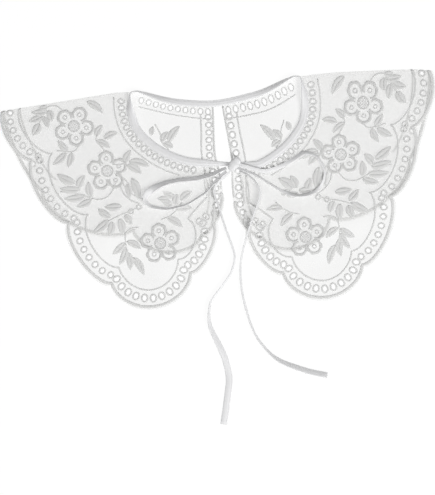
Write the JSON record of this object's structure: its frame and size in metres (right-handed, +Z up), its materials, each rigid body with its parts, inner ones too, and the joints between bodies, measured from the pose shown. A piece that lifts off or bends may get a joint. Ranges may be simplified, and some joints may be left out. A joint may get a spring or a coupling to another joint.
{
  "type": "lace collar",
  "caption": "Wide scalloped lace collar lying flat, each half folded at the shoulder, its bound neck tied in a front bow with loose tails.",
  "frame": {"origin": "centre of the collar's box, without the bow's loops and tails, on the surface that it lies on", "axes": "+X to the collar's left as it is seen from above with the front hem nearest, along its widest extent; +Y from the front hem to the back of the neck; +Z up from the surface"},
  "size_m": [0.3964, 0.3097, 0.0098],
  "materials": {
    "cotton_lace": "white sheer cotton with corded eyelet embroidery",
    "satin_tape": "white satin bias tape"
  },
  "bodies": {
    "root": {"left_half": "cotton_lace", "right_half": "cotton_lace", "neck_binding": "satin_tape", "knot": "satin_tape", "left_loop": "satin_tape", "right_loop": "satin_tape", "left_tail": "satin_tape", "right_tail": "satin_tape"}
  },
  "joints": []
}
